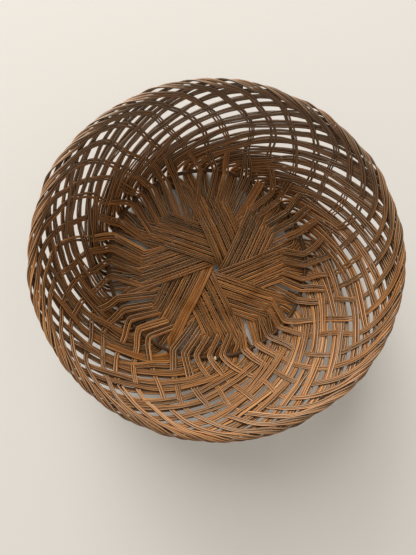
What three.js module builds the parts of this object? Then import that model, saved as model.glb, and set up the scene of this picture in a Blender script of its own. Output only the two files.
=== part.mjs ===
// A round rattan basket, in millimetres, +Z up, standing on the floor at z = 0.
// Forty flat strands cross the base as a pinwheel of eight arms, five strands to an arm. One end of
// each strand climbs the wall as a long sweep, and the other climbs as a stake, rolls over the rim
// and comes back down outside to a foot under the base. A cane hoop holds the base edge in the fold.
import * as THREE from "three";

// Base and wall
const HOOP_RADIUS = 97;
const HOOP_CANE_RADIUS = 2.2;
const HOOP_END_GAP = 3;
const HOOP_END_DIRECTION = 276;
const WALL_LENGTH = 95;
const WALL_START_SLOPE = 44;
const WALL_END_SLOPE = 76;
const OVAL = 1.036;
const FOOT_LENGTH = 10;

// Strands
const STRAND_WIDTH = 6.6;
const STRAND_THICKNESS = 0.9;
const STRAND_GAP = 0.8;
const STRANDS_PER_ARM = 5;
const ARM_DIRECTIONS = [23, 65, 113, 161, 201, 245, 295, 340];
const CENTRE_HOLE_RADIUS = 3.2;
const STAR_CENTRE = new THREE.Vector2(3.4, -4);
const BROAD_SPLINT = { arm: 5, strand: 0 };

// How far the sweeps, the stakes and their rim roll turn round the basket, in degrees
const SWEEP_TURN = 73;
const STAKE_TURN = 27;
const ROLL_TURN = 12.5;

// Clearances
const CLEARANCE = 0.35;
const FOLD_SLACK = 0.2;
const BASE_LAYER_GAP = 0.3;
const WALL_LAYER_GAP = 1.2;
const RIM_SLACK = 1.3;
const HOOP_SIDE_GAP = 0.95;
const PINWHEEL_MARGIN = 8.5;
const SQUARE_RUN = 8;

// The pinwheel's strands lie in layers, highest at the middle: how many layers above the base's height
const ARM_LEVELS = [4.1, 3.2, 2.3, 1.45, 0.6];
const EDGE_LEVEL = 0.6;
const RAMP_SLOPE = 0.5;

// Shares of the wall's height: where a sweep ends in the rim roll, where a strand leaves the hoop's fold,
// below what share the layers part for the hoop and above what share they part for the roll
const SWEEP_TOP = 0.96;
const FOLD_TOP = 0.05;
const FOOT_PARTING = 0.35;
const RIM_PARTING = 0.7;

const ARM_COUNT = ARM_DIRECTIONS.length;
const STRAND_COUNT = ARM_COUNT * STRANDS_PER_ARM;
const STRAND_TURN = 360 / STRAND_COUNT;
const ARM_TURN = 360 / ARM_COUNT;
const DIRECTION_SHIFT = ARM_DIRECTIONS.reduce((sum, d, a) => sum + d - a * ARM_TURN, 0) / ARM_COUNT;

const HALF = STRAND_THICKNESS / 2;
const STRAND_PITCH = STRAND_WIDTH + STRAND_GAP;
const FIRST_OFFSET = CENTRE_HOLE_RADIUS + STRAND_WIDTH / 2;
const BASE_LAYER = STRAND_THICKNESS + BASE_LAYER_GAP;
const WALL_LAYER = STRAND_THICKNESS + WALL_LAYER_GAP;
const RIM_ROLL_RADIUS = WALL_LAYER + RIM_SLACK;
const BASE_HEIGHT = ARM_LEVELS[0] * BASE_LAYER + HALF + CLEARANCE;
const HOOP_CLEAR = HOOP_CANE_RADIUS + CLEARANCE + HALF;
const FOLD_RADIUS = HOOP_CLEAR + FOLD_SLACK;

// Strands run straight across the pinwheel, fan out beyond it and meet the hoop side by side.
const STRAIGHT_RADIUS = FIRST_OFFSET + STRANDS_PER_ARM * STRAND_PITCH + PINWHEEL_MARGIN;
const FAN_END_RADIUS = HOOP_RADIUS - HOOP_CLEAR - SQUARE_RUN;
const FAN_REACH = 0.38 * (FAN_END_RADIUS - STRAIGHT_RADIUS);
const HOOP_PLACE_WIDTH = (Math.PI * (FAN_END_RADIUS + HOOP_CLEAR)) / (OVAL * STRAND_COUNT);
const STRAND_WIDTH_AT_HOOP = Math.min(STRAND_WIDTH, HOOP_PLACE_WIDTH - HOOP_SIDE_GAP);

const rad = THREE.MathUtils.degToRad;

// The wall's inner layer is an arc that starts on the hoop's fold and steepens towards the rim.
const FOLD_ANGLE = rad(0.6 * WALL_START_SLOPE);
const WALL_START_RADIUS = HOOP_RADIUS - FOLD_RADIUS * Math.sin(FOLD_ANGLE);
const WALL_START_HEIGHT = BASE_HEIGHT + FOLD_RADIUS * Math.cos(FOLD_ANGLE);

// A point of the wall a share v of the way up, moved outwards by an offset.
function wallPoint(v, offset) {
  const start = rad(WALL_START_SLOPE);
  const span = rad(WALL_END_SLOPE) - start;
  const slope = start + span * v;
  const radius = WALL_START_RADIUS + (WALL_LENGTH * (Math.sin(slope) - Math.sin(start))) / span;
  const height = WALL_START_HEIGHT + (WALL_LENGTH * (Math.cos(start) - Math.cos(slope))) / span;
  return {
    radius: radius + offset * Math.sin(slope),
    height: height - offset * Math.cos(slope),
    out: Math.sin(slope),
    up: -Math.cos(slope),
  };
}

// The layers part at the foot to pass round the hoop and at the rim to make the roll.
function layerOffset(v, layers, atFoot, atRim) {
  const plain = layers * WALL_LAYER;
  const foot = Math.max(0, 1 - v / FOOT_PARTING) ** 2;
  const rim = Math.max(0, (v - RIM_PARTING) / (1 - RIM_PARTING)) ** 2;
  return plain + (atFoot - plain) * foot + (atRim - plain) * rim;
}
const SWEEP_FOOT_OFFSET = 2 * FOLD_RADIUS + FOLD_SLACK;
const RETURN_FOOT_OFFSET = SWEEP_FOOT_OFFSET + WALL_LAYER;
const sweepOffset = (v) => layerOffset(v, 1, SWEEP_FOOT_OFFSET, RIM_ROLL_RADIUS);
const returnOffset = (v) => layerOffset(v, 2, RETURN_FOOT_OFFSET, 2 * RIM_ROLL_RADIUS);

// Turning round the basket: a sweep starts upright and then leans evenly; a stake leans more and more.
const SWEEP_EASE = 0.07;
function sweepShare(v) {
  const eased = (x) => x - SWEEP_EASE * (1 - Math.exp(-x / SWEEP_EASE));
  return eased(v) / eased(1);
}
const stakeShare = (v) => 0.7 * v + 0.3 * v ** 3;

// A station on the strand: a point, the side that the strand's face looks to, and the width there.
function station(radius, turn, height, out, up, width) {
  const c = Math.cos(rad(turn));
  const s = Math.sin(rad(turn));
  return {
    point: new THREE.Vector3(radius * c * OVAL, (radius * s) / OVAL, height),
    face: new THREE.Vector3(out * c, out * s, up).normalize(),
    width,
  };
}
function baseStation(place, height, width) {
  return {
    point: new THREE.Vector3(place.x * OVAL, place.y / OVAL, height),
    face: new THREE.Vector3(0, 0, 1),
    width,
  };
}
function wallStation(v, offset, turn, faceSign) {
  const p = wallPoint(v, offset);
  return station(p.radius, turn, p.height, faceSign * p.out, faceSign * p.up, STRAND_WIDTH);
}
function shares(from, to, count) {
  return Array.from({ length: count + 1 }, (unused, k) => from + ((to - from) * k) / count);
}

// The long sweep, from its cut end inside the rim roll down to the hoop and in under it.
function sweepStations(hoopTurn) {
  const climb = shares(SWEEP_TOP, FOLD_TOP, 8).map((v) =>
    wallStation(v, sweepOffset(v), hoopTurn - SWEEP_TURN * sweepShare(v), -1),
  );
  const under = BASE_HEIGHT - HOOP_CLEAR;
  return [
    ...climb,
    station(HOOP_RADIUS + HOOP_CANE_RADIUS, hoopTurn, under, -0.3, 1, STRAND_WIDTH_AT_HOOP),
    station(HOOP_RADIUS - HOOP_CANE_RADIUS, hoopTurn, under, 0, 1, STRAND_WIDTH_AT_HOOP),
  ];
}

// The base crossing of one strand, arm end first, from the hoop through the pinwheel to the hoop.
function baseStations(arm, strand, armTurn, tailTurn) {
  const direction = rad(ARM_DIRECTIONS[arm]);
  const along = new THREE.Vector2(Math.cos(direction), Math.sin(direction));
  const right = new THREE.Vector2(along.y, -along.x);
  const offset = FIRST_OFFSET + STRAND_PITCH * strand;
  const middle = STAR_CENTRE.clone().addScaledVector(right, offset);
  const lineAt = (s) => middle.clone().addScaledVector(along, s);
  const closest = -middle.dot(along);
  const reach = Math.sqrt(STRAIGHT_RADIUS ** 2 - lineAt(closest).lengthSq());
  const level = ARM_LEVELS[strand] * BASE_LAYER;
  const edge = EDGE_LEVEL * BASE_LAYER;
  const ramp = level / RAMP_SLOPE;

  // Beyond the pinwheel the strand fans out to its own place on the hoop and arrives square to it.
  function fan(side, turn, from) {
    const start = lineAt(from);
    const outward = new THREE.Vector2(Math.cos(rad(turn)), Math.sin(rad(turn)));
    const end = outward.clone().multiplyScalar(FAN_END_RADIUS);
    const curve = new THREE.CubicBezierCurve(
      start,
      start.clone().addScaledVector(along, side * FAN_REACH),
      end.clone().addScaledVector(outward, -FAN_REACH),
      end,
    );
    const easing = edge + 0.4 * (level - edge);
    return [
      baseStation(start, BASE_HEIGHT + side * level, STRAND_WIDTH),
      baseStation(curve.getPoint(0.4), BASE_HEIGHT + side * easing, STRAND_WIDTH),
      baseStation(curve.getPoint(0.7), BASE_HEIGHT + side * edge, STRAND_WIDTH_AT_HOOP),
      baseStation(end, BASE_HEIGHT + side * edge, STRAND_WIDTH_AT_HOOP),
    ];
  }
  return {
    arm: fan(1, armTurn, closest + reach).reverse(),
    middle: [
      baseStation(lineAt(ramp), BASE_HEIGHT + level, STRAND_WIDTH),
      baseStation(lineAt(-ramp), BASE_HEIGHT - level, STRAND_WIDTH),
    ],
    tail: fan(-1, tailTurn, closest - reach),
  };
}

// The stake, from the hoop up inside the wall, over the rim roll and down outside to the foot.
function stakeStations(hoopTurn) {
  const rimTurn = hoopTurn + STAKE_TURN;
  const climb = shares(0, 1, 6).map((v) =>
    wallStation(v, 0, hoopTurn + STAKE_TURN * stakeShare(v), -1),
  );
  const rim = wallPoint(1, RIM_ROLL_RADIUS);
  const roll = shares(0, 1, 4)
    .slice(1, -1)
    .map((share) => {
      const a = Math.PI * share;
      const out = -rim.out * Math.cos(a) - rim.up * Math.sin(a);
      const up = -rim.up * Math.cos(a) + rim.out * Math.sin(a);
      return station(
        rim.radius + out * RIM_ROLL_RADIUS,
        rimTurn + ROLL_TURN * share,
        rim.height + up * RIM_ROLL_RADIUS,
        out,
        up,
        STRAND_WIDTH,
      );
    });
  const descent = shares(1, FOLD_TOP, 8).map((v) =>
    wallStation(v, returnOffset(v), rimTurn + ROLL_TURN + SWEEP_TURN * (1 - sweepShare(v)), 1),
  );
  const footTurn = rimTurn + ROLL_TURN + SWEEP_TURN;
  const footStart = HOOP_RADIUS + HOOP_CANE_RADIUS;
  const foot = [footStart, footStart - HOOP_CANE_RADIUS, footStart - FOOT_LENGTH].map((radius) =>
    station(radius, footTurn, HALF, 0, -1, STRAND_WIDTH_AT_HOOP),
  );
  return [...climb, ...roll, ...descent, ...foot];
}

// A flat ribbon with a rectangular section through the stations.
function ribbon(stations) {
  const corners = [];
  stations.forEach((here, k) => {
    const before = stations[Math.max(0, k - 1)].point;
    const after = stations[Math.min(stations.length - 1, k + 1)].point;
    const along = after.clone().sub(before).normalize();
    const across = along.clone().cross(here.face).normalize();
    const thick = across.clone().cross(along).normalize();
    for (const [side, lift] of [[1, 1], [-1, 1], [-1, -1], [1, -1]]) {
      corners.push(
        here.point
          .clone()
          .addScaledVector(across, (side * here.width) / 2)
          .addScaledVector(thick, lift * HALF),
      );
    }
  });
  return closedSweep(corners, 4);
}

// The hoop is a bent cane with an eight-sided section and two cut ends that face each other.
const HOOP_SEGMENTS = 64;
const HOOP_SIDES = 8;
function hoop() {
  const halfGap = THREE.MathUtils.radToDeg(HOOP_END_GAP / HOOP_RADIUS) / 2;
  const from = HOOP_END_DIRECTION + halfGap;
  const points = [];
  for (const turn of shares(from, from + 360 - 2 * halfGap, HOOP_SEGMENTS)) {
    for (let side = 0; side < HOOP_SIDES; side += 1) {
      const a = (2 * Math.PI * (side + 0.5)) / HOOP_SIDES;
      const radius = HOOP_RADIUS + HOOP_CANE_RADIUS * Math.cos(a);
      points.push(station(radius, turn, BASE_HEIGHT + HOOP_CANE_RADIUS * Math.sin(a), 0, 1, 0).point);
    }
  }
  return closedSweep(points, HOOP_SIDES);
}

// Closes rings of points, each with the same number of sides, into one skin with two end faces.
function closedSweep(points, sides) {
  const faces = [];
  const last = points.length - sides;
  for (let ring = 0; ring < last; ring += sides) {
    for (let side = 0; side < sides; side += 1) {
      const a = ring + side;
      const b = ring + ((side + 1) % sides);
      faces.push([a, a + sides, b], [b, a + sides, b + sides]);
    }
  }
  for (let side = 1; side < sides - 1; side += 1) {
    faces.push([0, side, side + 1], [last, last + side + 1, last + side]);
  }
  const geometry = new THREE.BufferGeometry().setFromPoints(points);
  geometry.setIndex(faces.flat());
  geometry.computeVertexNormals();
  return geometry;
}

const rattan = new THREE.MeshStandardMaterial({ color: 0x6b4326, roughness: 0.55, metalness: 0 });
const golden = new THREE.MeshStandardMaterial({ color: 0x8a5a28, roughness: 0.5, metalness: 0 });
const cane = new THREE.MeshStandardMaterial({ color: 0x7a5c40, roughness: 0.6, metalness: 0 });

const basket = new THREE.Group();
basket.name = "rattan_basket";
function add(name, geometry, material) {
  const mesh = new THREE.Mesh(geometry, material);
  mesh.name = name;
  basket.add(mesh);
}

for (let arm = 0; arm < ARM_COUNT; arm += 1) {
  for (let strand = 0; strand < STRANDS_PER_ARM; strand += 1) {
    const armTurn = DIRECTION_SHIFT + ARM_TURN * arm - STRAND_TURN * strand;
    const tailTurn = DIRECTION_SHIFT + ARM_TURN * arm + 180 + STRAND_TURN * (strand - 0.5);
    const base = baseStations(arm, strand, armTurn, tailTurn);
    const shared = [...sweepStations(armTurn), ...base.arm, ...base.middle, ...base.tail];
    if (arm === BROAD_SPLINT.arm && strand === BROAD_SPLINT.strand) {
      add("broad_splint", ribbon(shared), golden);
    } else {
      add(`arm_${arm + 1}_strand_${strand + 1}`, ribbon([...shared, ...stakeStations(tailTurn)]), rattan);
    }
  }
}
add("base_hoop", hoop(), cane);

export default basket;
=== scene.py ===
"""A round rattan basket: forty woven strands of split reed, a cane hoop, floor, light and camera."""

import bpy
import numpy as np
from mathutils import Matrix


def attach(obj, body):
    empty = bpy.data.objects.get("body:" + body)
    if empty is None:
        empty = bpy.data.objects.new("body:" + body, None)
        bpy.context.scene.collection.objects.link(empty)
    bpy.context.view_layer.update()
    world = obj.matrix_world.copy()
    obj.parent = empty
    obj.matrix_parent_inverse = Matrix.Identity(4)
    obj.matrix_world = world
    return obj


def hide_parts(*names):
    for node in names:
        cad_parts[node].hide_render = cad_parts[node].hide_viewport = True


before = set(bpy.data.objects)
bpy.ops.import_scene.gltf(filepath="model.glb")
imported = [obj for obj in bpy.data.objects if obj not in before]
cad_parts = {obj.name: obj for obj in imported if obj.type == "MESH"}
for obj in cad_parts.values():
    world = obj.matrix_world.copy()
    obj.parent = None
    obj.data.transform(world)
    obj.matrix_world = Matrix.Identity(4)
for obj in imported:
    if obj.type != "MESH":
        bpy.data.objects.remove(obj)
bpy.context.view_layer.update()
MM = 0.001
SEED = 40
rng = np.random.default_rng(SEED)

# The basket's own sizes, as in the part, in millimetres and degrees
HOOP_RADIUS = 97.0
HOOP_CANE_RADIUS = 2.2
HOOP_END_GAP = 3.0
WALL_START_SLOPE = np.radians(44.0)
WALL_SPAN = np.radians(32.0)
OVAL = 1.036
STRAND_THICKNESS = 0.9
STRAND_PITCH = 7.4
STRANDS_PER_ARM = 5
MIDDLE_STRAND = (STRANDS_PER_ARM - 1) / 2
ARM_DIRECTIONS = (23, 65, 113, 161, 201, 245, 295, 340)
FIRST_OFFSET = 6.5
STAR_CENTRE = np.array([3.4, -4.0])
BROAD_SPLINT = (5, 0)
SWEEP_TURN = 73.0
STRAND_TURN = 9.0
ARM_TURN = 45.0
DIRECTION_SHIFT = np.mean(ARM_DIRECTIONS) - ARM_TURN * (len(ARM_DIRECTIONS) - 1) / 2
CLEARANCE = 0.35
FOLD_SLACK = 0.2
BASE_LAYER = 1.2
WALL_LAYER = 2.1
ARM_LEVELS = (4.1, 3.2, 2.3, 1.45, 0.6)
RAMP_SLOPE = 0.5
HALF_THICKNESS = STRAND_THICKNESS / 2
BASE_HEIGHT = ARM_LEVELS[0] * BASE_LAYER + HALF_THICKNESS + CLEARANCE
HOOP_CLEAR = HOOP_CANE_RADIUS + CLEARANCE + HALF_THICKNESS
FOLD_RADIUS = HOOP_CLEAR + FOLD_SLACK
FOLD_ANGLE = 0.6 * WALL_START_SLOPE
WALL_START_RADIUS = HOOP_RADIUS - FOLD_RADIUS * np.sin(FOLD_ANGLE)
WALL_START_HEIGHT = BASE_HEIGHT + FOLD_RADIUS * np.cos(FOLD_ANGLE)
SWEEP_FOOT_OFFSET = 2 * FOLD_RADIUS + FOLD_SLACK
RETURN_FOOT_OFFSET = SWEEP_FOOT_OFFSET + WALL_LAYER

# Places on the wall, as in the part: shares of the way up from foot to rim
FOLD_TOP = 0.05
FOOT_PARTING = 0.35
RIM_PARTING = 0.7

# The reeds' mesh: distance between rings, sides of a ring, and how far corners are rounded
STEP = 1.3
SIDES = 8
SECTION_POWER = 0.8
PATH_ROUNDING = 1.2
FACE_ROUNDING = 2.0
WIDTH_ROUNDING = 6.0

# Points on each stretch of a strand, before it is walked in even steps, and on the hoop
SWEEP_POINTS = 120
STAKE_POINTS = 160
ROLL_POINTS = 24
STAR_POINTS = 240
TAIL_POINTS = 40
HOOP_POINTS = 400

# Widths and thicknesses of the strands and their reeds. A chance is how far a random draw goes each way
ARM_WIDTH = 6.6
TAIL_WIDTH = 6.8
FIRST_TAILS = 2
FIRST_TAILS_WIDTH = 8.6
TAIL_WIDTH_CHANCE = 0.8
STAKE_WIDTH = 5.5
SWEEP_WIDTH = 6.2
SWEEP_TAPER = 0.42
SWEEP_SWELL = 0.1
SWEEP_TAPER_FROM = 0.4
SWEEP_TAPER_TO = 0.7
SLIM_DIRECTION = 155.0
FOOT_WIDTH = 10.4
FOOT_WIDTH_TO = 0.1
SPLINT_WIDTH = 9.4
SPLINT_RIDGES = 4
SPLINT_RIDGE_SHARE = 1.1
REED_COUNTS = (2, 3)
REED_COUNT_ODDS = (0.45, 0.55)
REED_SHARE = 0.87
REED_SHARE_CHANCE = 0.06
BASE_REED_THICKNESS = 1.15
WALL_REED_THICKNESS = 1.3

# How the reeds of a strand wander and part: lengths of the waves, sizes, and heights on the wall
REED_WANDER_LENGTH = 90.0
REED_WANDER = 0.3
REED_LIFT_LENGTH = 60.0
REED_LIFT = 0.2
PARTING_LENGTH = 110.0
PARTING_WAVE = 1.2
PARTING_FROM = 0.55
ON_WALL_FROM = BASE_HEIGHT + 4
ON_WALL_TO = BASE_HEIGHT + 16
UNDER_RIM_FROM = 68.0
UNDER_RIM_TO = 83.0

# How the strands lie on the wall and over the rim: places are shares of the way up from foot to rim
WALL_LENGTH = 96.2
WEAVE_LAYER = 1.6
WEAVE_FLATNESS = 2.2
LAST_OVER = 8.5
RETURN_OFFSET = 3.4
SWEEP_TOP = 0.99
SWEEP_EASE = 0.035
WALL_WANDER_LENGTH = 80.0
SWEEP_WANDER = 3.4
STAKE_WANDER = 2.4
WANDER_FULL_FROM = 0.3
RIM_FADE = 0.2
PAIR_TURN = 0.66
PAIR_DIRECTION = 300.0
PAIR_FROM = 0.1
PAIR_FULL_FROM = 0.4
PAIR_RIM_FADE = 0.15
RIM_ROLL_RADIUS = 2.8
RIM_UNEVENNESS = (-1.2, 0.8)
STAKE_TURN = 32.5
ROLL_TURN = 15.0
RIM_RUN_TURN = 10.0
RIM_RUN_FROM = 0.8
BESIDE_SWEEP_TURN = 4.5
BEHIND_SWEEP_TURN = 0.9
BESIDE_FULL_FROM = 0.12
BESIDE_FULL_TO = 0.15
BEHIND_FULL_FROM = 0.4
GAP_LEAN = 3.6
GAP_LEAN_REACH = 12.0
FOOT_LENGTH = 14.0
FOOT_CLEARANCE = 0.3

# How the strands lie in the star
ARM_REACH = (84.0, 83.0, 80.0, 74.0, 69.0)
ARM_TOP_RADIUS = 40.0
ARM_LOW_RADIUS = 54.0
ARM_LOW_LEVEL = 0.8
ARM_SPREAD_FROM = 60.0
ARM_SPREAD_TO = 70.0
SWITCH_RADIUS = 66.0
TOP_ARM_SWITCH_RADIUS = 75.0
SWITCH_RUN = 8.0
SWITCH_LEVEL = 0.9
TAIL_CORNER_RADIUS = 64.0
TAIL_WIDTH_FROM = 30.0
DRIFT_FROM = 20.0
DRIFT_TO = 55.0
TAIL_SPACING = 7.8
FOLD_TURN_CHANCE = 1.2
FOLD_INWARDS = 1.5
FOLD_DOWNWARDS = 0.8
SPLINT_END_SHIFT = -3.0
SPLINT_END_RADIUS = 100.0
SPLINT_END_LIFT = 0.3
BESIDE_SPLINT = (5, 1)
BESIDE_SPLINT_SHIFT = -4.6
BESIDE_SPLINT_EXTRA = 3.4

# The hoop: a little thinner than in the part, with one end that stands up
HOOP_THINNER = 0.6
HOOP_END_DIRECTION = 270.3
HOOP_END_RISE = 3.4
HOOP_END_RISE_TURN = 2.5
HOOP_CUT_SLANT = 1.3

# Painted shade and wear: the arms on the left, whose reeds are painted darker for the shade that falls there,
# and the splinters on the near right side
PAINTED_SHADE_ARMS = (3, 4)
PAINTED_SHADE_ARM_TONE = -0.22
STRAND_TONE_SHARE = 0.4
FRAYED_FROM = 268
FRAYED_TO = 345
SPLINTERS_PER_FOOT = 4
SPLINTER_PLACE = 9.0
SPLINTER_FIRST_STEPS = (-7, 5)
SPLINTER_STEPS = (6, 13)
SPLINTER_RUN = 12.0
SPLINTER_SIDE = 4.0
SPLINTER_SIDEWAYS = 3.0
SPLINTER_LIFT = 0.9
SPLINTER_RISE = (0.2, 1.2)
SPLINTER_WIDTH = (0.5, 1.0)
SPLINTER_FLATNESS = 0.6

# The finish: lengths of streaks, shares of streaks, wear with a painted highlight, dust with a painted sheen,
# and where the dust and sheen lie, in millimetres
FIBRE_LENGTH = 30.0
STAIN_LENGTH = 70.0
STREAK_CHOICE = 97.0
STREAK_SHARE = 0.5
WEAR_AND_HIGHLIGHT_SHARE = 0.9
LEAST_DUST_AND_SHEEN = 0.06
FAR_DUST_AND_SHEEN = 0.42
NEAR_DUST_AND_SHEEN = 0.16
DUST_AND_SHEEN_FROM = 10.0
DUST_AND_SHEEN_FULL_FROM = 60.0
FAR_DUST_AND_SHEEN_PLACE = 120.0
NEAR_DUST_AND_SHEEN_FROM = -20.0
NEAR_DUST_AND_SHEEN_PLACE = -100.0

# The lamps' target, the room's light, and what is added where a view shows the room itself
LIT_POINT = (0, 0, 0.03)
ROOM_STRENGTH = 0.46
SEEN_ROOM_EXTRA = 0.4


def smooth_step(x, start, end):
    """0 before the start, 1 after the end, and between them, at a share t of the way, 3 t squared minus
    2 t cubed."""
    t = np.clip((x - start) / (end - start), 0, 1)
    return t * t * (3 - 2 * t)


def place(radius, turn, height):
    """Points at a radius, a turn in degrees and a height, drawn out into the basket's slight oval."""
    a = np.radians(turn)
    x = radius * np.cos(a) * OVAL
    y = radius * np.sin(a) / OVAL
    return np.stack(np.broadcast_arrays(x, y, height), -1)


def facing(turn, out, up):
    """Directions that point outwards and upwards by the given shares at a turn in degrees."""
    a = np.radians(turn)
    return np.stack(np.broadcast_arrays(out * np.cos(a), out * np.sin(a), up), -1)


def wander(along, wavelength, size):
    """A slow random wave: the mean of three sines with random phases and lengths near the wavelength."""
    phase = rng.uniform(0, 2 * np.pi, 3)
    scale = rng.uniform(0.6, 1.6, 3)
    waves = np.sin(along[:, None] * 2 * np.pi / (wavelength * scale) + phase)
    return size * waves.mean(axis=1)


def wall(v, offset, turn, side):
    """The wall is an arc whose slope grows evenly from foot to rim: points a share v of the way up, moved
    outwards by an offset, with the direction that the strand's face looks to (side -1 is into the bowl)."""
    slope = WALL_START_SLOPE + WALL_SPAN * v
    rise = (np.cos(WALL_START_SLOPE) - np.cos(slope)) / WALL_SPAN
    run = (np.sin(slope) - np.sin(WALL_START_SLOPE)) / WALL_SPAN
    radius = WALL_START_RADIUS + WALL_LENGTH * run + offset * np.sin(slope)
    height = WALL_START_HEIGHT + WALL_LENGTH * rise - offset * np.cos(slope)
    return place(radius, turn, height), facing(turn, side * np.sin(slope), -side * np.cos(slope))


def sweep_turn(v):
    """How far a sweep has leaned at v: evenly, after a short upright start that dies away as a power of e."""
    whole = 1 - SWEEP_EASE * (1 - np.exp(-1 / SWEEP_EASE))
    return SWEEP_TURN * (v - SWEEP_EASE * (1 - np.exp(-v / SWEEP_EASE))) / whole


def stake_turn(v):
    """How far a stake has leaned at v: a sum of v, its cube and its twelfth power, so that it runs nearly
    along the rim in the end."""
    return STAKE_TURN * (0.55 * v + 0.23 * v**3 + 0.22 * v**12)


def weave(v):
    """1 where the stakes lie inside the sweeps and -1 where they lie outside. It counts the crossings from
    the hoop: over two, under two, over two, under two, and then over to the rim, as a flattened cosine."""
    crossing = (stake_turn(v) + sweep_turn(v)) / STRAND_TURN - 0.5
    wave = np.cos(np.pi * (np.clip(crossing, 0.5, LAST_OVER) - 0.5) / 2)
    return np.tanh(WEAVE_FLATNESS * wave) / np.tanh(WEAVE_FLATNESS)


def parted(v, plain, at_foot, at_rim):
    """A layer's offset. It parts from the others as a square, at the foot for the hoop and at the rim for
    the roll."""
    foot = np.maximum(0, 1 - v / FOOT_PARTING) ** 2
    rim = np.maximum(0, (v - RIM_PARTING) / (1 - RIM_PARTING)) ** 2
    return plain + (at_foot - plain) * foot + (at_rim - plain) * rim


def widened(v, width, foot_width):
    """A strand's width at v: a smooth step from the foot width to its own, low on the wall."""
    return foot_width + (width - foot_width) * smooth_step(v, FOOT_WIDTH_TO, FOOT_PARTING)


def sweep_width(v, turn):
    """A sweep's width at v: broad at the foot. Towards the rim it gets slimmer on one side of the basket and
    a little broader on the other, as a cosine of the turn."""
    slim = 0.5 + 0.5 * np.cos(np.radians(turn - SLIM_DIRECTION))
    change = (SWEEP_SWELL - SWEEP_TAPER * slim) * smooth_step(v, SWEEP_TAPER_FROM, SWEEP_TAPER_TO)
    return widened(v, SWEEP_WIDTH, FOOT_WIDTH) * (1 + change)


def gap_lean(tail_turn):
    """How far a stake leans towards the place where the cut splint has no stake, so that no wide gap is left:
    less with the distance, as a power of e."""
    splint_turn = DIRECTION_SHIFT + ARM_TURN * BROAD_SPLINT[0] + 180 - STRAND_TURN / 2
    away = (splint_turn - tail_turn + 180) % 360 - 180
    return GAP_LEAN * np.sign(away) * np.exp((STRAND_TURN - np.abs(away)) / GAP_LEAN_REACH)


def sweep_part(hoop_turn, pair_side):
    """The long sweep, from its end inside the rim roll down to the hoop and in under it. Up the wall the
    sweeps draw together in pairs, most on the side where the light falls, as a cosine of the turn."""
    v = np.linspace(SWEEP_TOP, FOLD_TOP, SWEEP_POINTS)
    offset = parted(v, WEAVE_LAYER * (1 + weave(v)) / 2, SWEEP_FOOT_OFFSET, RIM_ROLL_RADIUS)
    wave = wander(v * WALL_LENGTH, WALL_WANDER_LENGTH, SWEEP_WANDER)
    turn = hoop_turn - sweep_turn(v) + smooth_step(v, 0, WANDER_FULL_FROM) * wave
    pairing = 1 + np.cos(np.radians(turn - PAIR_DIRECTION))
    between_ends = smooth_step(v, PAIR_FROM, PAIR_FULL_FROM) * smooth_step(1 - v, 0, PAIR_RIM_FADE)
    turn = turn + pair_side * PAIR_TURN * pairing * between_ends
    points, faces = wall(v, offset, turn, -1)
    under_radius = HOOP_RADIUS + HOOP_CANE_RADIUS * np.array([1.0, -1.0])
    under = place(under_radius, hoop_turn, BASE_HEIGHT - HOOP_CLEAR)
    under_faces = facing(np.full(2, hoop_turn), 0, 1)
    return [(points, faces, sweep_width(v, turn)), (under, under_faces, FOOT_WIDTH)]


def stake_part(hoop_turn, lean, fold_turn, tail_width):
    """The stake: from its fold over the hoop up inside the wall, a half circle over the rim, along the rim
    and down outside, and a short foot under the base. Low on the wall its return lies beside the sweeps, and
    higher up behind them. Each stake rolls over a little further in or out than the next, so the rim isn't
    quite even."""
    rim_shift = rng.uniform(*RIM_UNEVENNESS)
    v = np.linspace(0, 1, STAKE_POINTS)
    settle = smooth_step(v, 0, FOOT_PARTING)
    wave = wander(v * WALL_LENGTH, WALL_WANDER_LENGTH, STAKE_WANDER)
    turn = fold_turn + (hoop_turn + lean - fold_turn) * settle + stake_turn(v)
    turn = turn + settle * smooth_step(1 - v, 0, RIM_FADE) * wave
    offset = WEAVE_LAYER * (1 - weave(v)) / 2 + rim_shift * smooth_step(v, RIM_PARTING, 1)
    climb = wall(v, offset, turn, -1)

    share = np.linspace(0, 1, ROLL_POINTS)[1:-1]
    angle = np.pi * share
    slope = WALL_START_SLOPE + WALL_SPAN
    out = -np.sin(slope) * np.cos(angle) + np.cos(slope) * np.sin(angle)
    up = np.cos(slope) * np.cos(angle) + np.sin(slope) * np.sin(angle)
    turn = hoop_turn + lean + STAKE_TURN + ROLL_TURN * share
    middle = wall(np.ones_like(share), RIM_ROLL_RADIUS + rim_shift, turn, 1)[0]
    roll = (middle + RIM_ROLL_RADIUS * facing(turn, out, up), facing(turn, out, up))

    back = np.linspace(1, FOLD_TOP, STAKE_POINTS)
    offset = parted(back, RETURN_OFFSET, RETURN_FOOT_OFFSET, 2 * RIM_ROLL_RADIUS + rim_shift)
    foot_turn = hoop_turn + STAKE_TURN + ROLL_TURN + RIM_RUN_TURN + SWEEP_TURN
    rim_run = RIM_RUN_TURN * np.maximum(0, (back - RIM_RUN_FROM) / (1 - RIM_RUN_FROM)) ** 2
    low = 1 - smooth_step(back, BESIDE_FULL_TO, BEHIND_FULL_FROM)
    beside = BESIDE_SWEEP_TURN * smooth_step(back, FOLD_TOP, BESIDE_FULL_FROM) * low
    behind = BEHIND_SWEEP_TURN * smooth_step(1 - back, 0, RIM_FADE) * (1 - low)
    back_turn = foot_turn - sweep_turn(back) + lean * smooth_step(back, RIM_PARTING, 1) - rim_run
    back_turn = back_turn + beside - behind
    descent = wall(back, offset, back_turn, 1)
    foot_radius = HOOP_RADIUS + HOOP_CANE_RADIUS - np.array([0, HOOP_CANE_RADIUS, FOOT_LENGTH])
    foot = place(foot_radius, foot_turn, BASE_REED_THICKNESS / 2 + FOOT_CLEARANCE)
    return [
        (*climb, widened(v, STAKE_WIDTH, tail_width)),
        (*roll, STAKE_WIDTH),
        (*descent, sweep_width(back, back_turn)),
        (foot, facing(np.full(3, foot_turn), 0, -1), FOOT_WIDTH),
    ]


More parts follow.
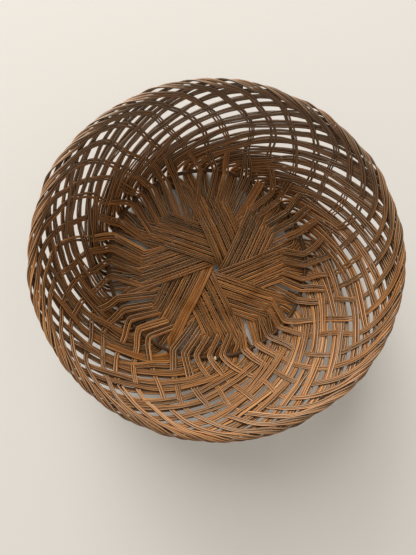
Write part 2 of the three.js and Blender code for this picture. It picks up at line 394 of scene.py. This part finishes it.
def base_part(arm, strand, end, arm_width, tail_width):
    """The base crossing, arm end first. A straight line passes the star's centre at the strand's own
    distance. The arm half lies on top near the middle and dives under the tails beyond the star, and the tail
    half does the reverse. Hidden under the arms, the tail drifts half of the way towards its end, and then
    goes straight to it. The end is a turn, a radius and a height."""
    end_turn, end_radius, end_height = end
    direction = np.radians(ARM_DIRECTIONS[arm])
    along = np.array([np.cos(direction), np.sin(direction)])
    right = np.array([along[1], -along[0]])
    offset = FIRST_OFFSET + STRAND_PITCH * strand
    end_offset = HOOP_RADIUS * np.sin(np.radians(end_turn) - direction - np.pi)
    drifted = (offset + end_offset) / 2
    arm_end = np.sqrt(ARM_REACH[strand] ** 2 - offset**2)
    corner = np.sqrt(TAIL_CORNER_RADIUS**2 - drifted**2)
    s = np.linspace(arm_end, -corner, STAR_POINTS)
    aside = offset + (drifted - offset) * smooth_step(-s, DRIFT_FROM, DRIFT_TO)
    line = STAR_CENTRE + right * aside[:, None] + along * s[:, None]
    last = np.linspace(0, 1, TAIL_POINTS)[1:]
    end_point = facing(end_turn, end_radius, 0)[:2]
    line = np.vstack([line, line[-1] + (end_point - line[-1]) * last[:, None]])
    s = np.concatenate([s, np.full(len(last), -corner)])
    last = np.concatenate([np.zeros(len(s) - len(last)), last])

    level = ARM_LEVELS[strand] * BASE_LAYER
    from_centre = np.linalg.norm(line - STAR_CENTRE, axis=1)
    drop = smooth_step(from_centre, ARM_TOP_RADIUS, ARM_LOW_RADIUS)
    layer = (level + (ARM_LOW_LEVEL - level) * drop) * np.clip(s * RAMP_SLOPE / level, -1, 1)
    arm_switch = TOP_ARM_SWITCH_RADIUS if strand == 0 else SWITCH_RADIUS
    switch_from = np.where(s > 0, arm_switch, SWITCH_RADIUS)
    switch = smooth_step(from_centre, switch_from, switch_from + SWITCH_RUN)
    layer = layer * (1 - switch) - np.sign(s) * SWITCH_LEVEL * switch
    layer = layer + (end_height - BASE_HEIGHT - SWITCH_LEVEL) * last**2
    points = np.column_stack([line[:, 0] * OVAL, line[:, 1] / OVAL, BASE_HEIGHT + layer])
    spread = smooth_step(from_centre, ARM_SPREAD_FROM, ARM_SPREAD_TO)
    arm_widths = arm_width + (FOOT_WIDTH - arm_width) * spread
    tail_widths = np.where(s > -TAIL_WIDTH_FROM, arm_width, tail_width)
    upwards = np.tile([0.0, 0.0, 1.0], (len(points), 1))
    return [(points, upwards, np.where(s > 0, arm_widths, tail_widths))]


def unit(vectors):
    """Vectors scaled to length 1."""
    return vectors / np.linalg.norm(vectors, axis=1, keepdims=True)


def even_steps(parts):
    """Walks the joined parts in even steps and rounds the corners with a bell curve, which is mirrored
    through the ends so that they stay in place. Gives points, directions across, normals, widths and
    distances along."""
    points = np.vstack([p for p, _, _ in parts])
    faces = np.vstack([f for _, f, _ in parts])
    widths = np.concatenate([np.broadcast_to(w, len(p)) for p, _, w in parts])
    keep = np.concatenate([[True], np.linalg.norm(np.diff(points, axis=0), axis=1) > 1e-6])
    points, faces, widths = points[keep], faces[keep], widths[keep]
    length = np.concatenate([[0], np.cumsum(np.linalg.norm(np.diff(points, axis=0), axis=1))])
    along = np.linspace(0, length[-1], int(length[-1] / STEP) + 1)

    def rounded(values, spread):
        even = np.stack([np.interp(along, length, column) for column in values.T], 1)
        reach = int(np.ceil(3 * spread / STEP))
        bell = np.exp(-0.5 * (np.arange(-reach, reach + 1) * STEP / spread) ** 2)
        padded = np.pad(even, ((reach, reach), (0, 0)), mode="reflect", reflect_type="odd")
        return np.stack([np.convolve(c, bell / bell.sum(), "valid") for c in padded.T], 1)

    points = rounded(points, PATH_ROUNDING)
    tangents = unit(np.gradient(points, axis=0))
    across = unit(np.cross(tangents, rounded(faces, FACE_ROUNDING)))
    widths = rounded(widths[:, None], WIDTH_ROUNDING)[:, 0]
    return points, across, np.cross(across, tangents), widths, along


def reed(centre, across, normal, width, thickness, along, tone):
    """One reed: an oval section, squared a little by a power of its cosine and sine, carried along its centre
    line. Gives its points, its faces with the two ends closed, its map (place across the reed, distance along
    it) and its tone."""
    angle = 2 * np.pi * (np.arange(SIDES) + 0.5) / SIDES
    c = np.sign(np.cos(angle)) * np.abs(np.cos(angle)) ** SECTION_POWER
    s = np.sign(np.sin(angle)) * np.abs(np.sin(angle)) ** SECTION_POWER
    ring = across[:, None] * (width[:, None] * c[None] / 2)[:, :, None]
    ring = ring + normal[:, None] * (thickness[:, None] * s[None] / 2)[:, :, None]
    points = (centre[:, None] + ring).reshape(-1, 3)
    count = len(centre)
    k, j = np.meshgrid(np.arange(count - 1), np.arange(SIDES), indexing="ij")
    here = k * SIDES + j
    beside = k * SIDES + (j + 1) % SIDES
    sides = np.stack([here, here + SIDES, beside + SIDES, beside], -1).reshape(-1, 4)
    strip = np.arange(SIDES // 2 - 1)
    cap = np.stack([strip, strip + 1, SIDES - 2 - strip, SIDES - 1 - strip], -1)
    last = cap[:, ::-1] + (count - 1) * SIDES
    flat = np.column_stack([np.tile((c + 1) / 2, count), np.repeat(along * MM, SIDES)])
    return points, np.vstack([sides, cap, last]), flat, np.full(count * SIDES, tone)


def piece_from(name, reeds, material, node):
    """One object from several reeds. It rides on the basket and stands for its node."""
    counts = np.cumsum([0] + [len(r[0]) for r in reeds])
    points = np.vstack([r[0] for r in reeds]) * MM
    faces = np.vstack([r[1] + start for r, start in zip(reeds, counts)])
    flat = np.vstack([r[2] for r in reeds])
    tone = np.concatenate([r[3] for r in reeds])
    mesh = bpy.data.meshes.new(name)
    mesh.from_pydata(points.tolist(), [], faces.tolist())
    layer = mesh.uv_layers.new(name="reed")
    layer.data.foreach_set("uv", flat[faces.ravel()].ravel())
    mesh.attributes.new("tone", "FLOAT", "POINT").data.foreach_set("value", tone)
    mesh.polygons.foreach_set("use_smooth", np.ones(len(faces), bool))
    mesh.materials.append(material)
    piece = bpy.data.objects.new(name, mesh)
    bpy.context.collection.objects.link(piece)
    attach(piece, "root")
    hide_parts(node)
    return piece


def splinters(points, across, normal, along):
    """Thin splinters that stand off a strand's foot just outside the hoop: each runs beside the strand and
    leaves it evenly, sideways and upwards."""
    foot = np.argmax(np.linalg.norm(points[:, :2], axis=1) < HOOP_RADIUS + SPLINTER_PLACE)
    loose = []
    for _ in range(SPLINTERS_PER_FOOT):
        first = foot + rng.integers(*SPLINTER_FIRST_STEPS)
        part = slice(first, first + rng.integers(*SPLINTER_STEPS))
        away = (along[part] - along[first]) / SPLINTER_RUN
        side = rng.uniform(-SPLINTER_SIDE, SPLINTER_SIDE)
        side = side + rng.uniform(-SPLINTER_SIDEWAYS, SPLINTER_SIDEWAYS) * away
        lift = SPLINTER_LIFT + rng.uniform(*SPLINTER_RISE) * away
        centre = points[part] + across[part] * side[:, None] + normal[part] * lift[:, None]
        width = np.full(len(centre), rng.uniform(*SPLINTER_WIDTH))
        thickness = SPLINTER_FLATNESS * width
        tone = rng.uniform()
        loose.append(reed(centre, across[part], normal[part], width, thickness, along[part], tone))
    return loose


def strand_reeds(parts, reed_count, share, tone_shift, frayed):
    """The reeds of one strand lie side by side on its path and wander a little. On the wall they part here
    and there, so that one reed shows alone in a gap. The share is the part of its room that a reed fills."""
    points, across, normal, width, along = even_steps(parts)
    height = points[:, 2]
    on_wall = smooth_step(height, ON_WALL_FROM, ON_WALL_TO)
    thickness = BASE_REED_THICKNESS + (WALL_REED_THICKNESS - BASE_REED_THICKNESS) * on_wall
    below_rim = 1 - smooth_step(height, UNDER_RIM_FROM, UNDER_RIM_TO)
    parting = np.maximum(0, wander(along, PARTING_LENGTH, PARTING_WAVE) - PARTING_FROM)
    spacing = (1 + on_wall * below_rim * parting) * width / reed_count
    strand_tone = rng.uniform()
    reeds = []
    for number in range(reed_count):
        side = (number - (reed_count - 1) / 2) * spacing + wander(along, REED_WANDER_LENGTH, REED_WANDER)
        lift = wander(along, REED_LIFT_LENGTH, REED_LIFT)
        centre = points + across * side[:, None] + normal * lift[:, None]
        tone = STRAND_TONE_SHARE * strand_tone + (1 - STRAND_TONE_SHARE) * rng.uniform() + tone_shift
        filled = share + rng.uniform(-REED_SHARE_CHANCE, REED_SHARE_CHANCE)
        reed_width = filled * width / reed_count
        reeds.append(reed(centre, across, normal, reed_width, thickness, along, tone))
    if frayed:
        reeds += splinters(points, across, normal, along)
    return reeds


def hoop_reed():
    """The hoop: a round cane bent into an open ring. Its two ends face each other across a small gap. Each is
    cut aslant, so that the cut looks up, and the first end stands up a little, as a bell curve."""
    half_gap = np.degrees(HOOP_END_GAP / HOOP_RADIUS) / 2
    first = HOOP_END_DIRECTION + half_gap
    turn = np.linspace(first, HOOP_END_DIRECTION + 360 - half_gap, HOOP_POINTS)
    rise = HOOP_END_RISE * np.exp(-(((turn - first) / HOOP_END_RISE_TURN) ** 2))
    points = place(HOOP_RADIUS, turn, BASE_HEIGHT + rise)
    across = facing(turn, 1, np.zeros_like(turn))
    downwards = np.tile([0.0, 0.0, -1.0], (len(turn), 1))
    size = np.full(len(turn), 2 * HOOP_CANE_RADIUS - HOOP_THINNER)
    along = np.radians(turn) * HOOP_RADIUS
    points, faces, flat, tone = reed(points, across, downwards, size, size, along, 0.5)
    for ring, way in ((slice(0, SIDES), 1), (slice(-SIDES, None), -1)):
        height = points[ring, 2] - points[ring, 2].min()
        points[ring] += facing(HOOP_END_DIRECTION + 90, 1, 0) * (HOOP_CUT_SLANT * way * height)[:, None]
    return points, faces, flat, tone


def linear(code):
    """An sRGB hex colour as linear red, green, blue and alpha."""
    channels = np.array([int(code[k : k + 2], 16) for k in (1, 3, 5)]) / 255
    low = channels / 12.92
    high = ((channels + 0.055) / 1.055) ** 2.4
    return (*np.where(channels <= 0.04045, low, high).tolist(), 1.0)


def add(tree, kind, settings, inputs, stops=()):
    """Adds a node, sets its properties, and fills or links its inputs by name or number. Stops are the places
    and hex colours of a colour ramp, in order."""
    node = tree.nodes.new(kind)
    for key, value in settings.items():
        setattr(node, key, value)
    for key, value in inputs.items():
        if isinstance(value, bpy.types.NodeSocket):
            tree.links.new(value, node.inputs[key])
        else:
            node.inputs[key].default_value = value
    for number, (position, code) in enumerate(stops):
        elements = node.color_ramp.elements
        element = elements[number] if number < len(elements) else elements.new(position)
        element.position = position
        element.color = linear(code)
    return node


def stained_reed(name, stops, worn_and_highlight, painted_groove_shade, roughness, fibres):
    """Rattan with a stain: each reed took the stain differently, fibres run along it as fine streaks, its two
    edges are worn and carry a painted highlight, and painted shade darkens the grooves beside it."""
    material = bpy.data.materials.new(name)
    material.use_nodes = True
    tree = material.node_tree
    shader = tree.nodes["Principled BSDF"]
    tone = add(tree, "ShaderNodeAttribute", {"attribute_name": "tone"}, {}).outputs["Fac"]
    reed_map = add(tree, "ShaderNodeUVMap", {"uv_map": "reed"}, {}).outputs["UV"]
    parts = add(tree, "ShaderNodeSeparateXYZ", {}, {"Vector": reed_map})
    across, along = parts.outputs["X"], parts.outputs["Y"]

    # Fibres are 0.1 mm wide: drawn about 0.6 mm wide, so that they show. A reed's tone picks its streaks
    fibre_across = add(tree, "ShaderNodeMath", {"operation": "MULTIPLY"}, {0: across, 1: fibres}).outputs[0]
    fibre_run = {0: along, 1: FIBRE_LENGTH * MM}
    fibre_along = add(tree, "ShaderNodeMath", {"operation": "DIVIDE"}, fibre_run).outputs[0]
    own = add(tree, "ShaderNodeMath", {"operation": "MULTIPLY"}, {0: tone, 1: STREAK_CHOICE}).outputs[0]
    fibre_axes = {"X": fibre_across, "Y": fibre_along, "Z": own}
    fibre_place = add(tree, "ShaderNodeCombineXYZ", {}, fibre_axes).outputs[0]
    fibre_noise = {"Vector": fibre_place, "Scale": 1.0, "Detail": 3.0}
    fibre = add(tree, "ShaderNodeTexNoise", {}, fibre_noise).outputs["Fac"]

    # The stain varies slowly along the reed
    stain_run = {0: along, 1: STAIN_LENGTH * MM}
    stain_along = add(tree, "ShaderNodeMath", {"operation": "DIVIDE"}, stain_run).outputs[0]
    stain_place = add(tree, "ShaderNodeCombineXYZ", {}, {"Y": stain_along, "Z": own}).outputs[0]
    stain_noise = {"Vector": stain_place, "Scale": 1.0, "Detail": 1.0}
    stain = add(tree, "ShaderNodeTexNoise", {}, stain_noise).outputs["Fac"]

    # Tone, stain and fibre each count by half, and what they add up to picks the colour
    mixed = -STREAK_SHARE / 2
    for streak in (tone, stain, fibre):
        added = {0: streak, 1: STREAK_SHARE, 2: mixed}
        mixed = add(tree, "ShaderNodeMath", {"operation": "MULTIPLY_ADD"}, added).outputs[0]
    colour = add(tree, "ShaderNodeValToRGB", {}, {"Fac": mixed}, stops).outputs["Color"]

    # The edges are worn where the fibre is high, and carry a painted highlight there; painted shade darkens
    # the grooves that lie past them
    to_sides = {0: across, 1: 2.0, 2: -1.0}
    centred = add(tree, "ShaderNodeMath", {"operation": "MULTIPLY_ADD"}, to_sides).outputs[0]
    from_middle = add(tree, "ShaderNodeMath", {"operation": "ABSOLUTE"}, {0: centred}).outputs[0]
    edge_stops = [(0.35, "#000000"), (0.6, "#ffffff"), (0.72, "#ffffff"), (0.85, "#000000")]
    edge = add(tree, "ShaderNodeValToRGB", {}, {"Fac": from_middle}, edge_stops).outputs["Color"]
    # Painted highlight: the pale worn colour on the edges also stands for light caught on the reeds' rounded
    # edges
    wear_and_highlight = add(tree, "ShaderNodeMath", {"operation": "MULTIPLY"}, {0: edge, 1: fibre}).outputs[0]
    wear_and_highlight = add(tree, "ShaderNodeMath", {"operation": "MULTIPLY"}, {0: wear_and_highlight, 1: WEAR_AND_HIGHLIGHT_SHARE}).outputs[0]
    # Painted shade: the grooves between the reeds are darkened towards the groove colour
    groove_shade_stops = [(0.76, "#000000"), (0.92, "#e0e0e0")]
    groove_shade = add(tree, "ShaderNodeValToRGB", {}, {"Fac": from_middle}, groove_shade_stops).outputs["Color"]

    # Grey dust, partly a painted sheen, dulls the wall more and more on the way up: most on the far side, as
    # a painted grey sheen on the shaded wall, less on the near side, as a painted sheen where the light
    # falls, and least in the middle
    on_basket = add(tree, "ShaderNodeTexCoord", {}, {}).outputs["Object"]
    spot = add(tree, "ShaderNodeSeparateXYZ", {}, {"Vector": on_basket}).outputs
    on_the_way_up = {"Value": spot["Z"], 1: DUST_AND_SHEEN_FROM * MM, 2: DUST_AND_SHEEN_FULL_FROM * MM}
    high = add(tree, "ShaderNodeMapRange", {}, on_the_way_up).outputs[0]
    far_side = {"Value": spot["Y"], 1: 0.0, 2: FAR_DUST_AND_SHEEN_PLACE * MM, 3: LEAST_DUST_AND_SHEEN, 4: FAR_DUST_AND_SHEEN}
    far = add(tree, "ShaderNodeMapRange", {}, far_side).outputs[0]
    near_places = {1: NEAR_DUST_AND_SHEEN_FROM * MM, 2: NEAR_DUST_AND_SHEEN_PLACE * MM}
    near_side = {"Value": spot["Y"], **near_places, 3: LEAST_DUST_AND_SHEEN, 4: NEAR_DUST_AND_SHEEN}
    near = add(tree, "ShaderNodeMapRange", {}, near_side).outputs[0]
    either = add(tree, "ShaderNodeMath", {"operation": "MAXIMUM"}, {0: far, 1: near}).outputs[0]
    dust_and_sheen = add(tree, "ShaderNodeMath", {"operation": "MULTIPLY"}, {0: high, 1: either}).outputs[0]

    # Laid over the colour in turn: worn edges with a painted highlight, painted shade in the grooves, and
    # dust with a painted sheen
    for share, over in ((wear_and_highlight, worn_and_highlight), (groove_shade, painted_groove_shade), (dust_and_sheen, "#8a7e72")):
        layers = {"Factor": share, 6: colour, 7: linear(over)}
        colour = add(tree, "ShaderNodeMix", {"data_type": "RGBA"}, layers).outputs[2]
    tree.links.new(colour, shader.inputs["Base Color"])
    shader.inputs["Roughness"].default_value = roughness
    shader.inputs["Specular IOR Level"].default_value = 0.3
    relief = {"Strength": 0.5, "Distance": 0.15 * MM, "Height": fibre}
    bump = add(tree, "ShaderNodeBump", {}, relief)
    tree.links.new(bump.outputs[0], shader.inputs["Normal"])
    return material


# Split rattan core, stained and lightly varnished: satin gloss, dark to golden brown, with pale worn edges
# that also serve as a painted highlight, and painted shade in the grooves
rattan = stained_reed(
    "stained_rattan_reed",
    stops=[(0.2, "#2c1200"), (0.45, "#6a3808"), (0.65, "#945618"), (0.9, "#c69056")],
    worn_and_highlight="#ecc48c",
    painted_groove_shade="#180900",
    roughness=0.4,
    fibres=4.0,
)
# A broad splint of the same core that took less stain: more golden, with the same gloss, the same painted
# highlight on its worn edges and painted shade in its grooves
golden = stained_reed(
    "golden_rattan_splint",
    stops=[(0.2, "#4c260a"), (0.5, "#8c5420"), (0.9, "#c08644")],
    worn_and_highlight="#d49c5e",
    painted_groove_shade="#1c0c03",
    roughness=0.4,
    fibres=4.0,
)
# Round cane without varnish: dull dark brown, darker than the cane itself as painted shade, so that the hoop
# merges with the shade around the base
cane = stained_reed(
    "dark_brown_cane",
    stops=[(0.2, "#33200f"), (0.5, "#4b321c"), (0.9, "#6c5034")],
    worn_and_highlight="#6c5034",
    painted_groove_shade="#4b321c",
    roughness=0.9,
    fibres=8.0,
)
# The cane's cut, which no stain has reached: pale straw with hardly any gloss
cut_cane = stained_reed(
    "pale_cut_cane",
    stops=[(0.2, "#d8b680"), (0.5, "#ecd2a0"), (0.9, "#f6e6c4")],
    worn_and_highlight="#f6e6c4",
    painted_groove_shade="#ecd2a0",
    roughness=0.7,
    fibres=8.0,
)

# The forty strands
for arm in range(len(ARM_DIRECTIONS)):
    for strand in range(STRANDS_PER_ARM):
        arm_turn = DIRECTION_SHIFT + ARM_TURN * arm - STRAND_TURN * strand
        tail_turn = DIRECTION_SHIFT + ARM_TURN * arm + 180 + STRAND_TURN * (strand - 0.5)
        fold_turn = tail_turn + (TAIL_SPACING - STRAND_TURN) * (strand - MIDDLE_STRAND)
        fold_turn += rng.uniform(-FOLD_TURN_CHANCE, FOLD_TURN_CHANCE)
        pair_side = (-1) ** (STRANDS_PER_ARM * arm - strand)
        sweep = sweep_part(arm_turn, pair_side)
        if (arm, strand) == BROAD_SPLINT:
            end_height = BASE_HEIGHT + HOOP_CLEAR + SPLINT_END_LIFT
            end = (tail_turn + SPLINT_END_SHIFT, SPLINT_END_RADIUS, end_height)
            route = sweep + base_part(arm, strand, end, SPLINT_WIDTH, SPLINT_WIDTH)
            ridges = strand_reeds(route, SPLINT_RIDGES, SPLINT_RIDGE_SHARE, 0.0, False)
            piece_from("broad_splint_strip", ridges, golden, "broad_splint")
            continue
        tail_width = FIRST_TAILS_WIDTH if strand < FIRST_TAILS else TAIL_WIDTH
        tail_width += rng.uniform(-TAIL_WIDTH_CHANCE, TAIL_WIDTH_CHANCE)
        if (arm, strand) == BESIDE_SPLINT:
            fold_turn += BESIDE_SPLINT_SHIFT
            tail_width += BESIDE_SPLINT_EXTRA
        end = (fold_turn, WALL_START_RADIUS - FOLD_INWARDS, WALL_START_HEIGHT - FOLD_DOWNWARDS)
        route = sweep + base_part(arm, strand, end, ARM_WIDTH, tail_width)
        route = route + stake_part(tail_turn, gap_lean(tail_turn), fold_turn, tail_width)
        name = f"arm_{arm + 1}_strand_{strand + 1}"
        reed_count = int(rng.choice(REED_COUNTS, p=REED_COUNT_ODDS))
        frayed = FRAYED_FROM < arm_turn % 360 < FRAYED_TO
        # Painted shade: the arms on the left get a darker tone
        tone_shift = PAINTED_SHADE_ARM_TONE if arm in PAINTED_SHADE_ARMS else 0.0
        reeds = strand_reeds(route, reed_count, REED_SHARE, tone_shift, frayed)
        piece_from(name + "_reeds", reeds, rattan, name)

# The hoop, whose last faces are its two cuts
hoop = piece_from("base_hoop_cane", [hoop_reed()], cane, "base_hoop")
hoop.data.materials.append(cut_cane)
for face in hoop.data.polygons[-(SIDES - 2) :]:
    face.material_index = 1
    face.use_smooth = False


# Floor, light and camera
def plain_surface(name, code, roughness):
    """A plain surface of one colour, rough enough to show hardly any gloss."""
    material = bpy.data.materials.new(name)
    material.use_nodes = True
    shader = material.node_tree.nodes["Principled BSDF"]
    shader.inputs["Base Color"].default_value = linear(code)
    shader.inputs["Roughness"].default_value = roughness
    shader.inputs["Specular IOR Level"].default_value = 0.1
    return material


floor_mesh = bpy.data.meshes.new("floor")
floor_half = 3.0
corners = [(-floor_half, -floor_half, 0), (floor_half, -floor_half, 0)]
corners += [(floor_half, floor_half, 0), (-floor_half, floor_half, 0)]
floor_mesh.from_pydata(corners, [], [(0, 1, 2, 3)])
floor_mesh.materials.append(plain_surface("pale_cloth_floor", "#d9d9d7", 0.9))
floor = bpy.data.objects.new("floor", floor_mesh)
bpy.context.collection.objects.link(floor)

world = bpy.data.worlds.new("soft_room")
bpy.context.scene.world = world
world.use_nodes = True
room = world.node_tree
background = room.nodes["Background"]
background.inputs["Color"].default_value = linear("#fff3e4")
seen = add(room, "ShaderNodeLightPath", {}, {}).outputs["Is Camera Ray"]
brightness = {0: seen, 1: SEEN_ROOM_EXTRA, 2: ROOM_STRENGTH}
strength = add(room, "ShaderNodeMath", {"operation": "MULTIPLY_ADD"}, brightness)
room.links.new(strength.outputs[0], background.inputs["Strength"])


def look_from(position, target):
    """A placement at one point that looks at another: its third axis points back from the target, and its
    first is square to that and to +Y tipped up a little."""
    back = np.array(position) - np.array(target)
    back = back / np.linalg.norm(back)
    side = np.cross([0, 1, 0.01], back)
    side = side / np.linalg.norm(side)
    full = np.eye(4)
    full[:3, :3] = np.column_stack([side, np.cross(back, side), back])
    full[:3, 3] = position
    return Matrix(full.tolist())


def soft_lamp(name, position, size, power, code):
    """A large square lamp that looks at the basket."""
    lamp = bpy.data.lights.new(name, "AREA")
    lamp.shape = "SQUARE"
    lamp.size = size
    lamp.energy = power
    lamp.color = linear(code)[:3]
    holder = bpy.data.objects.new(name, lamp)
    holder.matrix_world = look_from(position, LIT_POINT)
    bpy.context.collection.objects.link(holder)


soft_lamp("window", (-1.6, 3.1, 2.05), size=3.4, power=196.0, code="#fffdf9")
soft_lamp("low_window", (-1.3, 3.45, 1.0), size=1.8, power=105.0, code="#fff9f0")

# The camera stands over the basket and a little to its left, as fitted to the rim and the hoop
CAMERA_PLACE = np.array([-85.633, -16.168, 409.807])
CAMERA_TILT_X = np.radians(-0.385)
CAMERA_TILT_Y = np.radians(11.486)
FOCAL_PIXELS = 412.84
PICTURE_HEIGHT = 555
cx, sx = np.cos(CAMERA_TILT_X), np.sin(CAMERA_TILT_X)
cy, sy = np.cos(CAMERA_TILT_Y), np.sin(CAMERA_TILT_Y)
turn_x = np.array([[1, 0, 0], [0, cx, -sx], [0, sx, cx]])
turn_y = np.array([[cy, 0, sy], [0, 1, 0], [-sy, 0, cy]])
camera_frame = np.eye(4)
camera_frame[:3, :3] = (turn_y @ turn_x).T
camera_frame[:3, 3] = CAMERA_PLACE * MM
lens = bpy.data.cameras.new("camera")
lens.sensor_fit = "VERTICAL"
lens.sensor_height = 36.0
lens.lens = FOCAL_PIXELS / PICTURE_HEIGHT * lens.sensor_height
lens.clip_start = 0.01
camera = bpy.data.objects.new("camera", lens)
camera.matrix_world = Matrix(camera_frame.tolist())
bpy.context.collection.objects.link(camera)
bpy.context.scene.camera = camera
bpy.context.scene.view_settings.view_transform = "Standard"

bpy.context.view_layer.update()
